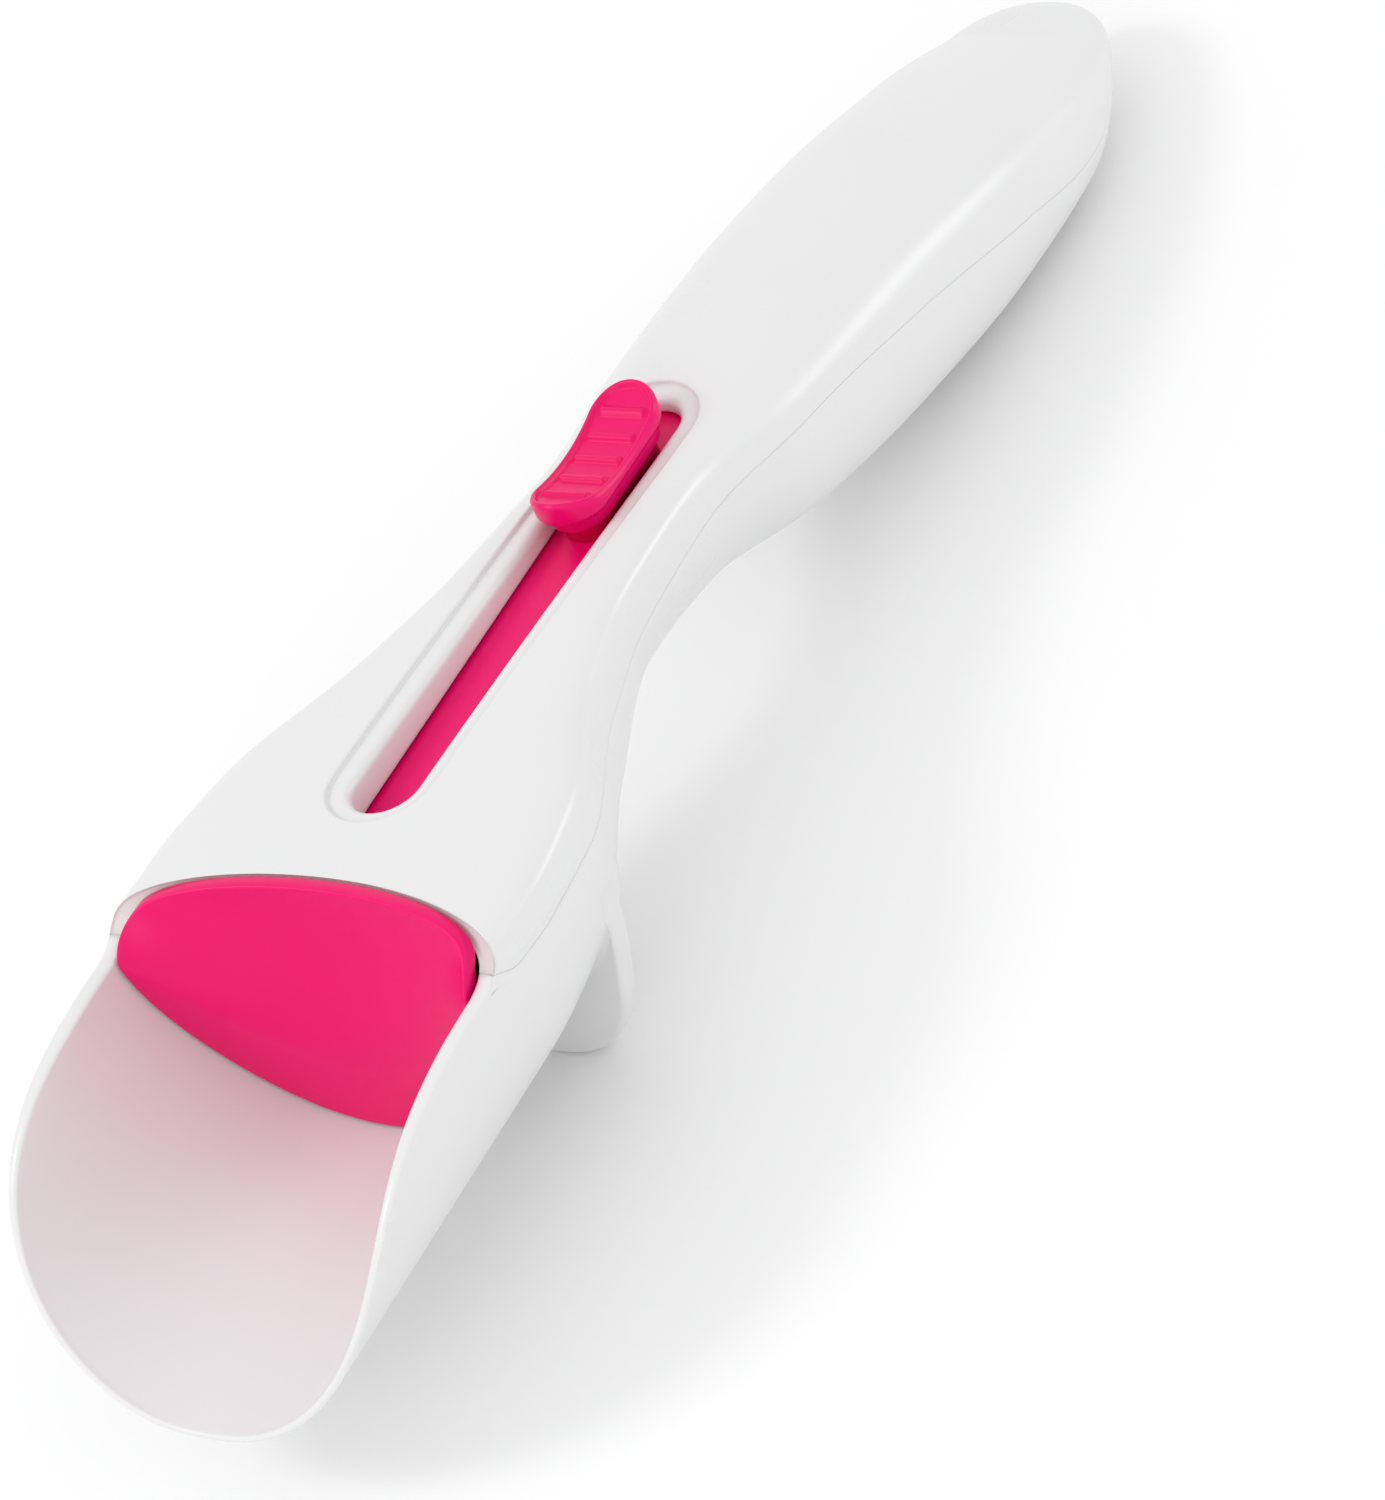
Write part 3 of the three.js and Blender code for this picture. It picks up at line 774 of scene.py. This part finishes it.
LOWER_HALF_COLUMNS = 66
RIM_COLUMNS = 26
RIM_REACH = 4.5
TROUGH_ROWS = 52
FOOT_ROWS_REACH = 2.5
FOOT_START = FOOT_X - FOOT_ROWS_REACH
FOOT_STOP = FOOT_X + FOOT_THICK + FOOT_ROWS_REACH
BEFORE_FOOT = FOOT_START - 3
BEHIND_FOOT = FOOT_STOP + 4
BESIDE_ROWS = 4
LOWER_HANDLE_ROWS = 95


def rim_drops():
    """How far below the seam the mouth's edge lies, at even steps along it up to the corner."""
    _, z = rim_profile(RIM_ROUND)
    x = mouth_x(SECTIONS[0, 1], z, RIM_ROUND)
    drop = parting_at(x) - SEAM_HALF - SEAM_ROUND - z
    run = np.concatenate([[0], np.cumsum(np.hypot(np.diff(x), np.diff(z)))])
    start, end = np.interp([-RIM_REACH, 0], -drop, run)
    return np.interp(np.linspace(start, end, RIM_COLUMNS + 1), run, drop)


RIM_DROPS = rim_drops()


def lower_lines(x, inset):
    """Lines of the lower shell from the -Y seam under the bottom to the +Y seam."""
    seam = float(parting_at(x)) - SEAM_HALF - SEAM_ROUND
    y, z = half_outline(x, -math.pi / 2, angle_at(x, seam, inset), inset, 700)
    run = np.concatenate([[0], np.cumsum(np.hypot(np.diff(y), np.diff(z)))])
    fine = run[-1] - RIM_REACH
    share = np.concatenate([
        np.linspace(0, fine, LOWER_HALF_COLUMNS - RIM_COLUMNS + 1)[:-1],
        run[-1] - RIM_DROPS,
    ])
    side_y, side_z = np.interp(share, run, y), np.interp(share, run, z)
    ys = np.concatenate([-side_y[:0:-1], side_y])
    zs = np.concatenate([side_z[:0:-1], side_z])
    return np.stack([ys, zs], -1)


def quadratic(start, control, end, samples):
    """Points on a quadratic Bezier curve."""
    t = np.linspace(0, 1, samples)[:, None]
    start, control, end = (np.array(p, float) for p in (start, control, end))
    return (1 - t) ** 2 * start + 2 * t * (1 - t) * control + t * t * end


def foot_outline():
    """Half of the foot's outline from the middle of its sole to where it fades into the body."""
    sole = np.array([[0, -FOOT_DEPTH]])
    sole_end = (FOOT_SOLE_HALF, -FOOT_DEPTH)
    corner = quadratic(sole_end, (FOOT_CORNER_HALF, -FOOT_DEPTH), FOOT_KNEE, 60)
    side = quadratic(FOOT_KNEE, FOOT_SHOULDER, FOOT_ROOT, 60)[1:]
    return np.concatenate([sole, corner, side])


def foot_path(depth):
    """Rows over the foot at each line, as x and share of depth, where it stands depth proud."""
    fillet = np.minimum(FOOT_FILLET, 0.45 * depth)
    edge = np.minimum(FOOT_EDGE, 0.45 * depth)
    x, h = [], []
    for angle in np.linspace(0, math.pi / 2, 7):
        x.append(FOOT_X - fillet + fillet * math.sin(angle))
        h.append(fillet * (1 - math.cos(angle)))
    for share in np.linspace(0, 1, 10)[1:]:
        x.append(FOOT_X + 0 * depth)
        h.append(fillet + (depth - edge - fillet) * share)
    for angle in np.linspace(0, math.pi / 2, 6)[1:]:
        x.append(FOOT_X + edge * (1 - math.cos(angle)))
        h.append(depth - edge + edge * math.sin(angle))
    x.append(FOOT_X + FOOT_THICK / 2 + 0 * depth)
    h.append(depth)
    x = x + [2 * FOOT_X + FOOT_THICK - value for value in x[-2::-1]]
    h = h + h[-2::-1]
    x, h = np.array(x), np.array(h)
    even = np.linspace(FOOT_START, FOOT_STOP, len(x))[:, None]
    plate = smoothstep(depth, 0.2, 3.0)[None]
    x = even + (x - even) * plate
    return x, h / np.maximum(depth, 1e-6)[None]


def lower_x_rows(front, inset, foot_x):
    """x of the rows of the lower shell: the trough, the foot, the handle and its rounded end."""
    count = len(front)
    ease = np.linspace(0, 1, TROUGH_ROWS + 1)[:, None]
    rows = [front + (BEFORE_FOOT - front) * (0.5 * ease ** 2 + 0.5 * ease)]
    share = np.linspace(0, 1, BESIDE_ROWS + 1)[1:, None]
    rows.append(foot_x[:1] + (BEFORE_FOOT - foot_x[:1]) * share[-2::-1])
    rows.append(foot_x)
    last = foot_x[-1:]
    rows.append(last + (BEHIND_FOOT - last) * share)
    handle = np.linspace(BEHIND_FOOT, LENGTH - CAP_LENGTH, LOWER_HANDLE_ROWS + 1)[1:]
    cap = cap_rows(inset, LENGTH - CAP_LENGTH, CAP_ROWS)
    rows.append(np.repeat(np.concatenate([handle, cap])[:, None], count, 1))
    return np.concatenate(rows)


def build_lower_shell():
    count = 2 * LOWER_HALF_COLUMNS + 1
    outer_lines = lengthwise_lines(lower_lines, 0, count)
    inner_lines = lengthwise_lines(lower_lines, WALL, count)

    middle = FOOT_X + FOOT_THICK / 2
    body = on_lines(outer_lines, np.full((1, count), middle))[0, :, 1:]
    half = body[LOWER_HALF_COLUMNS:]
    run = np.concatenate([[0], np.cumsum(np.linalg.norm(np.diff(half, axis=0), axis=1))])
    root_run = np.interp(FOOT_ROOT[1], half[:, 1], run)
    outline = foot_outline()
    foot_run = np.concatenate([[0], np.cumsum(np.linalg.norm(np.diff(outline, axis=0), axis=1))])
    share = np.clip(run / root_run, 0, 1) * foot_run[-1]
    target = np.stack([np.interp(share, foot_run, outline[:, k]) for k in (0, 1)], -1)
    fade = smoothstep(run, root_run * 0.9, root_run)[:, None]
    target = target * (1 - fade) + half * fade
    target = np.concatenate([target[:0:-1] * [-1, 1], target])
    depth = np.linalg.norm(target - body, axis=1)
    foot_x, foot_share = foot_path(depth)

    x = lower_x_rows(front_of(outer_lines, RIM_ROUND), 0, foot_x)
    outer_points = on_lines(outer_lines, x)
    start = TROUGH_ROWS + BESIDE_ROWS
    rows = slice(start, start + len(foot_x))
    tilt = (foot_x - FOOT_X) * REST_SIN / REST_COS * foot_share ** 3
    low = np.stack([target[:, 0] + 0 * foot_x, target[:, 1] + tilt], -1)
    body_points = outer_points[rows, :, 1:]
    outer_points[rows, :, 1:] = body_points + (low - body_points) * foot_share[..., None]
    groove = groove_at(outer_points[..., 0], outer_points[..., 2])
    outer_points[..., 1] -= np.sign(outer_points[..., 1]) * groove

    inner_foot = np.repeat(np.linspace(FOOT_START, FOOT_STOP, len(foot_x))[:, None], count, 1)
    inner_x = lower_x_rows(front_of(inner_lines, RIM_ROUND), WALL, inner_foot)
    inner_points = on_lines(inner_lines, inner_x)

    patches = Patchwork()
    outer, inner = patches.add(outer_points), patches.add(inner_points)
    patches.fill(outer)
    patches.fill(inner)
    close_shell(patches, outer_points, inner_points, outer, inner, -SEAM_HALF, RIM_ROUND)
    return patches.build("lower_shell_skin", white)


# ---------------------------------------------------------------- pusher

def pusher_face(y, z):
    """How far along the scoop the pusher's face is, at y and z."""
    side = (y / WRAP_WIDTH) ** 2
    upright = PUSHER_FOOT - side * WRAP * z / WRAP_HEIGHT
    leaning = PUSHER_TOP - DECK_ARC * (y / DECK_ARC_WIDTH) ** 2
    turn_low = TURN_LOW + side * TURN_SIDE_RISE
    return upright + (leaning - upright) * smoothstep(z, turn_low, TURN_HIGH)


def even_points(y, z, count):
    """Points spaced evenly along a line."""
    run = np.concatenate([[0], np.cumsum(np.hypot(np.diff(y), np.diff(z)))])
    even = np.linspace(0, run[-1], count)
    return np.stack([np.interp(even, run, y), np.interp(even, run, z)], -1)


def pusher_outlines():
    """Rings of (y, z): the face's outline, and the outline of the plate in the trough.

    They part above the widest point, where the face rises to the top of the deck.
    """
    inset = WALL + PUSHER_GAP
    x = float(RIM_END)
    below = even_points(*half_outline(x, -math.pi / 2, 0, inset, 2000), 60)
    rings = []
    for top_inset in (BAND_INSET, inset):
        above = even_points(*half_outline(x, 0, math.pi / 2, inset, 2000, top_inset), 50)
        half = np.concatenate([below, above[1:]])
        rings.append(np.concatenate([half, half[-2:0:-1] * [-1, 1]]))
    return rings


def build_pusher():
    outline, trough = pusher_outlines()
    along = np.roll(outline, -1, 0) - np.roll(outline, 1, 0)
    outward = np.stack([along[:, 1], -along[:, 0]], -1) / np.linalg.norm(along, axis=1)[:, None]
    middle = np.array([0, PUSHER_MIDDLE])
    rise = np.linalg.norm(outline - trough, axis=1)
    in_band = smoothstep(rise, *BAND_FADE)
    rings = []

    def room(points):
        """How thick the plate may be, so that its upper band stays in front of the deck."""
        deck_x = mouth_x(points[:, 0], points[:, 1] - BAND_GAP, 0) - BAND_GAP
        band = (deck_x - pusher_face(*points.T)).clip(PUSHER_THIN, PUSHER_THICK)
        return PUSHER_THICK + (band - PUSHER_THICK) * in_band

    def ring(points, depth):
        rings.append(np.column_stack([pusher_face(*points.T) + depth, points]))

    flat = outline - outward * PUSHER_ROUND
    for share in np.linspace(0, 1, PUSHER_RINGS):
        ring(middle + (flat - middle) * share, 0)
    for angle in np.linspace(0, math.pi / 2, 6)[1:]:
        inward = PUSHER_ROUND * (1 - math.sin(angle))
        ring(outline - outward * inward, PUSHER_ROUND * (1 - math.cos(angle)))
    ring(outline, room(outline) - BACK_CHAMFER)
    ring(outline - outward * BACK_CHAMFER, room(outline))
    back = np.where(in_band[:, None] > 0, trough, outline - outward * PUSHER_ROUND)
    ring(back, room(back))
    ring(back, PUSHER_THICK)
    for share in np.linspace(1, 0, PUSHER_RINGS)[1:]:
        ring(middle + (back - middle) * share, PUSHER_THICK)
    patches = Patchwork()
    index = patches.add(np.array(rings))
    patches.fill(index, closed=True)
    low = BAR_TOP - BAR_THICK
    half = BAR_HALF + FIT_GAP
    floor_z = low - FIT_GAP
    roof_z = BAR_TOP + FIT_GAP
    add_box(patches, (SOCKET_FRONT, -SOCKET_HALF, floor_z - SOCKET_WALL),
            (SOCKET_REAR, SOCKET_HALF, floor_z))
    add_box(patches, (SOCKET_FRONT + 1, -SOCKET_HALF, roof_z),
            (SOCKET_REAR, SOCKET_HALF, BAR_TOP + SOCKET_WALL))
    for side in (-1, 1):
        wall_y = sorted((side * half, side * SOCKET_HALF))
        add_box(patches, (SOCKET_FRONT + 0.5, wall_y[0], floor_z - 1),
                (SOCKET_REAR, wall_y[1], BAR_TOP + 1))
    add_pusher_rib(patches, low - 1)
    return patches.build("pusher_plate_skin", pink)


def add_pusher_rib(patches, top):
    """The rib down the back of the plate, below its socket."""
    rib = np.array([
        (PUSHER_FOOT + 2, RIB_FOOT), (SOCKET_FRONT - 1, top),
        (SOCKET_FRONT + 5, top), (SOCKET_FRONT + 1, RIB_FOOT),
    ], float)
    middle = rib.mean(0)
    side = RIB_HALF - RIB_BEVEL
    rows = []
    for shrink, y in ((0.9, -RIB_HALF), (1, -side), (1, side), (0.9, RIB_HALF)):
        rows.append([(x, y, z) for x, z in middle + (rib - middle) * shrink])
    patches.fill(patches.add(np.array(rows)), closed=True)


# ---------------------------------------------------------------- slide bar

def stadium_ring(x0, x1, half, z, arc_steps=16, straight_steps=24):
    """Points round a stadium from x0 to x1."""
    turn = np.linspace(-math.pi / 2, math.pi / 2, arc_steps + 1)
    rear_x, rear_y = x1 - half + half * np.cos(turn), half * np.sin(turn)
    run = np.linspace(x1 - half, x0 + half, straight_steps + 1)[1:-1]
    front_x, front_y = x0 + half - half * np.cos(turn), -half * np.sin(turn)
    xs = np.concatenate([rear_x, run, front_x, run[::-1]])
    ys = np.concatenate([rear_y, half + 0 * run, front_y, -half + 0 * run])
    return np.stack([xs, ys, z + 0 * xs], -1)


BAR_BEVEL = 0.4
BAR_FLAT = 3


def build_slide_bar():
    low = BAR_TOP - BAR_THICK
    patches = Patchwork()
    turn = 0.3 * BAR_BEVEL
    profile = [
        (BAR_FLAT, low), (BAR_BEVEL, low), (turn, low + turn), (0, low + BAR_BEVEL),
        (0, BAR_TOP - BAR_BEVEL), (turn, BAR_TOP - turn), (BAR_BEVEL, BAR_TOP),
        (BAR_FLAT, BAR_TOP),
    ]
    rings = []
    for inward, z in profile:
        ring = stadium_ring(BAR_FRONT - BAR_HALF, BAR_REAR, BAR_HALF, z)
        centre = np.clip(ring[:, 0], BAR_FRONT, BAR_REAR - BAR_HALF)
        away = np.stack([ring[:, 0] - centre, ring[:, 1]], -1) / BAR_HALF
        xs = np.maximum(centre + away[:, 0] * (BAR_HALF - inward), BAR_FRONT + inward)
        rings.append(np.stack([xs, away[:, 1] * (BAR_HALF - inward), ring[:, 2]], -1))
    index = patches.add(np.array(rings))
    patches.fill(index, closed=True)
    return patches.build("slide_bar_skin", pink)


# ---------------------------------------------------------------- thumb button

BUTTON_MIDDLE = (BUTTON_FRONT + BUTTON_REAR) / 2
LIP_INSET = 0.62
DISH_INSET = 1.05
DISH_DEPTH = 0.6
RIDGE_HEIGHT = 0.55
RIDGE_WIDTH = 0.55


def saddle_z(x):
    """Height of the button's hollow top, a part of a cylinder across it."""
    along = np.clip(np.abs(x - BUTTON_MIDDLE), 0, SADDLE_RADIUS)
    return BUTTON_SADDLE + SADDLE_RADIUS - np.sqrt(SADDLE_RADIUS ** 2 - along ** 2)


def dish_z(x, y, half):
    """Height of the hollow across the button's top, with its ridges."""
    z = saddle_z(x) - DISH_DEPTH
    straight = (BUTTON_REAR - BUTTON_FRONT) / 2 - BUTTON_HALF
    for i in range(RIDGES):
        along = (i - (RIDGES - 1) / 2) * RIDGE_PITCH
        past = max(abs(along) - straight, 0)
        reach = 0.9 * math.sqrt(half ** 2 - past ** 2)
        ends = 1 - smoothstep(np.abs(y), reach - 0.35, reach)
        z = z + RIDGE_HEIGHT * np.exp(-(((x - BUTTON_MIDDLE - along) / RIDGE_WIDTH) ** 4)) * ends
    return z


def build_button():
    half = BUTTON_HALF - DISH_INSET
    front_centre, rear_centre = BUTTON_FRONT + BUTTON_HALF, BUTTON_REAR - BUTTON_HALF
    turn = np.linspace(0.02, math.pi / 2, 22)
    run = np.linspace(front_centre, rear_centre, 150)
    centre = np.concatenate([front_centre + 0 * turn, run[1:-1], rear_centre + 0 * turn])
    away_x = np.concatenate([-np.cos(turn), 0 * run[1:-1], np.cos(turn[::-1])])
    away_y = np.concatenate([np.sin(turn), 1 + 0 * run[1:-1], np.sin(turn[::-1])])

    patches = Patchwork()
    across = np.linspace(-1, 1, 47)
    dish_x = (centre + away_x * half)[:, None] + 0 * across
    dish_y = (away_y * half)[:, None] * across
    dish = np.stack([dish_x, dish_y, dish_z(dish_x, dish_y, half)], -1)
    dish_index = patches.add(dish)
    patches.fill(dish_index)

    def ring(inward, z_of, shorter=0.0):
        reach = BUTTON_HALF - inward
        middle = np.clip(centre, front_centre + shorter, rear_centre - shorter)
        xs = np.concatenate([middle + away_x * reach, (middle + away_x * reach)[::-1]])
        ys = np.concatenate([away_y * reach, -(away_y * reach)[::-1]])
        return np.stack([xs, ys, z_of(xs)], -1)

    def rim(drop):
        return lambda xs: saddle_z(xs) - drop

    def at_height(z):
        return lambda xs: z + 0 * xs

    neck = BUTTON_HALF - NECK_HALF
    shorter = NECK_INSET - neck
    post = BUTTON_HALF - POST_HALF
    post_shorter = POST_INSET - post
    # From the dish over the raised lip, down the side and under it, then down the neck and post
    rings = [
        ring(DISH_INSET - 0.12, rim(DISH_DEPTH - 0.12)),
        ring(LIP_INSET + 0.16, rim(0.14)),
        ring(LIP_INSET, rim(0.03)),
        ring(LIP_INSET - 0.16, rim(0.0)),
        ring(LIP_INSET - 0.3, rim(0.08)),
        ring(LIP_INSET - 0.36, rim(0.2)),
        ring(0.2, rim(0.32)),
        ring(0.1, rim(0.42)),
        ring(0.03, rim(0.56)),
        ring(0.0, lambda xs: np.maximum(saddle_z(xs) - 1.0, BUTTON_BOTTOM + 0.3)),
        ring(0.0, at_height(BUTTON_BOTTOM + 0.2)),
        ring(0.08, at_height(BUTTON_BOTTOM - 0.1), 0.1 * shorter),
        ring(0.25, at_height(BUTTON_BOTTOM - 0.4), 0.3 * shorter),
        ring(neck - 0.1, at_height(NECK_TOP + 0.2), 0.9 * shorter),
        ring(neck, at_height(NECK_TOP), shorter),
        ring(neck, at_height(NECK_BOTTOM + 0.3), shorter),
        ring(neck + 0.3, at_height(NECK_BOTTOM), shorter),
        ring(post, at_height(NECK_BOTTOM), post_shorter),
        ring(post, at_height(BAR_TOP + FIT_GAP), post_shorter),
        ring(POST_FLOOR, at_height(BAR_TOP + FIT_GAP), post_shorter),
    ]
    ring_index = patches.add(np.array(rings))
    border = np.concatenate([dish_index[:, -1], dish_index[::-1, 0]])
    patches.fill(np.concatenate([border[None], ring_index]), closed=True)
    low = BAR_TOP - BAR_THICK
    bottom = low - FIT_GAP - BARB_THICK
    leg = (SHANK_HALF_LENGTH, BAR_TOP + 2 * FIT_GAP, LEG_SHRINK)
    barb = (SHANK_HALF_LENGTH + BARB, low - FIT_GAP, 0)
    for side in (-1, 1):
        for reach, top, less in (leg, barb):
            ends = (SHANK_SPLIT + less, reach - less)
            x0, x1 = sorted(BUTTON_MIDDLE + side * end for end in ends)
            half = SHANK_HALF_WIDTH - less
            add_box(patches, (x0, -half, bottom + less), (x1, half, top))
    return patches.build("thumb_button_skin", pink)


# ---------------------------------------------------------------- pieces on their bodies

def put(piece, node, body):
    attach(piece, body)
    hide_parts(node)


put(build_upper_shell(), "upper_shell", "scoop_body")
put(build_lower_shell(), "lower_shell", "scoop_body")
put(build_pusher(), "pusher_plate", "slider")
put(build_slide_bar(), "slide_bar", "slider")
put(build_button(), "thumb_button", "slider")


# ---------------------------------------------------------------- floor and light

def add_floor():
    bpy.ops.mesh.primitive_plane_add(size=6, location=(0, 0, 0))
    floor = bpy.context.object
    floor.name = "floor"
    material = bpy.data.materials.new("floor_paper")
    material.use_nodes = True
    shader = material.node_tree.nodes["Principled BSDF"]
    shader.inputs["Base Color"].default_value = (0.93, 0.93, 0.93, 1)
    shader.inputs["Roughness"].default_value = 0.9
    shader.inputs["Specular IOR Level"].default_value = 0.1
    floor.data.materials.append(material)


def add_area(name, place, aim, size, power):
    data = bpy.data.lights.new(name, "AREA")
    data.shape = "RECTANGLE"
    data.size, data.size_y = size
    data.energy = power
    light = bpy.data.objects.new(name, data)
    bpy.context.scene.collection.objects.link(light)
    light.location = place
    direction = Vector(aim) - Vector(place)
    light.rotation_euler = direction.to_track_quat("-Z", "Y").to_euler()


def add_world(strength):
    world = bpy.data.worlds.new("studio")
    world.use_nodes = True
    background = world.node_tree.nodes["Background"]
    background.inputs["Color"].default_value = (1, 1, 1, 1)
    background.inputs["Strength"].default_value = strength
    bpy.context.scene.world = world


add_floor()
add_world(0.93)
add_area("key", (-0.55, 0.55, 0.9), (0, 0, 0.02), (0.3, 0.3), 2.2)
add_area("front_fill", (-0.8, -0.25, 0.5), (-0.08, 0, 0.02), (0.45, 0.35), 0.7)
add_area("side_strip", (0.86, -0.76, 0.30), (0.02, 0, 0.03), (0.4, 0.12), 1.3)
bpy.context.scene.view_settings.view_transform = "Standard"

bpy.context.view_layer.update()
